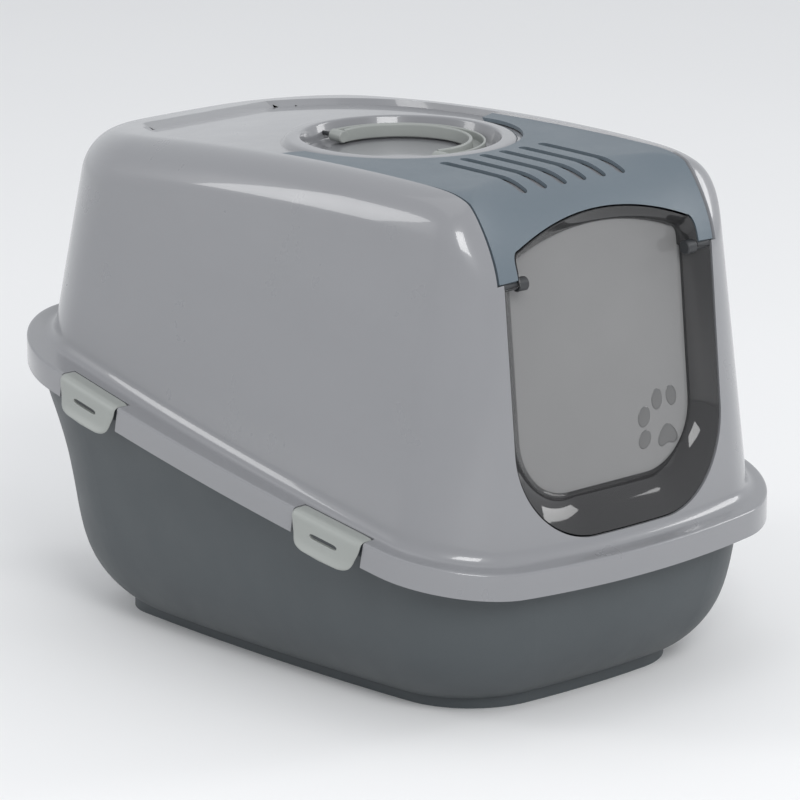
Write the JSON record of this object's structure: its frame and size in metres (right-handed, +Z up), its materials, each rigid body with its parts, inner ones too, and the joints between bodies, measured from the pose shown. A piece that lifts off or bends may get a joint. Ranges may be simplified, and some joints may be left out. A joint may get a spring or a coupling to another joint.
{
  "type": "cat litter box with hood",
  "caption": "Hooded cat litter box: deep tray with sloping rim, clip-on hood, see-through swing door, lift-off filter cover and folding carry handle.",
  "frame": {"origin": "on the floor, under the middle of the bounding box", "axes": "+Z up, -Y towards the door, +X to the right of the door as seen from behind it; left and right are those of someone facing along +Y"},
  "size_m": [0.4794, 0.6599, 0.4625],
  "materials": {
    "tray_plastic": "fine satin moulded polypropylene, dark grey",
    "hood_plastic": "glossy moulded polypropylene, light grey",
    "cover_plastic": "fine-grained satin plastic, blue grey",
    "carbon_fleece": "black needled fleece with active carbon",
    "door_plastic": "clear smoke-tinted moulded plastic with fine ribs",
    "clip_plastic": "satin plastic, light green grey",
    "pin_plastic": "satin acetal, dark grey"
  },
  "bodies": {
    "tray": {"base_pan": "tray_plastic"},
    "hood": {"hood_shell": "hood_plastic", "clip_pins": "pin_plastic"},
    "door": {"door_flap": "door_plastic", "door_pin_left": "pin_plastic", "door_pin_right": "pin_plastic"},
    "vent_cover": {"filter_cover": "cover_plastic", "filter_frame": "cover_plastic", "carbon_filter": "carbon_fleece"},
    "handle": {"carry_handle": "clip_plastic", "handle_pin_rear": "pin_plastic", "handle_pin_front": "pin_plastic"},
    "clip_rear_left": {"clip_rear_left": "clip_plastic"},
    "clip_rear_right": {"clip_rear_right": "clip_plastic"},
    "clip_front_left": {"clip_front_left": "clip_plastic"},
    "clip_front_right": {"clip_front_right": "clip_plastic"}
  },
  "joints": [
    {"name": "hood_lift", "type": "slide", "parent": "tray", "child": "hood", "axis": [0, 0, 1], "range_m": [0, 0.16]},
    {"name": "door_swing", "type": "hinge", "parent": "hood", "child": "door", "pos_m": [0, -0.273, 0.384], "axis": [1, 0, 0], "range_deg": [-75, 75]},
    {"name": "cover_lift", "type": "slide", "parent": "hood", "child": "vent_cover", "axis": [0, 0, 1], "range_m": [0, 0.06]},
    {"name": "handle_fold", "type": "hinge", "parent": "hood", "child": "handle", "pos_m": [-0.014, -0.0156, 0.451], "axis": [0, -1, 0], "range_deg": [0, 90]},
    {"name": "clip_rear_left_swing", "type": "hinge", "parent": "hood", "child": "clip_rear_left", "pos_m": [-0.2208, 0.14749, 0.23196], "axis": [0.0574, 0.9809, 0.1857], "range_deg": [0, 100]},
    {"name": "clip_rear_right_swing", "type": "hinge", "parent": "hood", "child": "clip_rear_right", "pos_m": [0.2208, 0.14749, 0.23196], "axis": [0.0574, -0.9809, -0.1857], "range_deg": [0, 100]},
    {"name": "clip_front_left_swing", "type": "hinge", "parent": "hood", "child": "clip_front_left", "pos_m": [-0.21959, -0.1673, 0.17223], "axis": [-0.062, 0.9806, 0.1857], "range_deg": [0, 100]},
    {"name": "clip_front_right_swing", "type": "hinge", "parent": "hood", "child": "clip_front_right", "pos_m": [0.21959, -0.1673, 0.17223], "axis": [-0.062, -0.9806, -0.1857], "range_deg": [0, 100]}
  ]
}
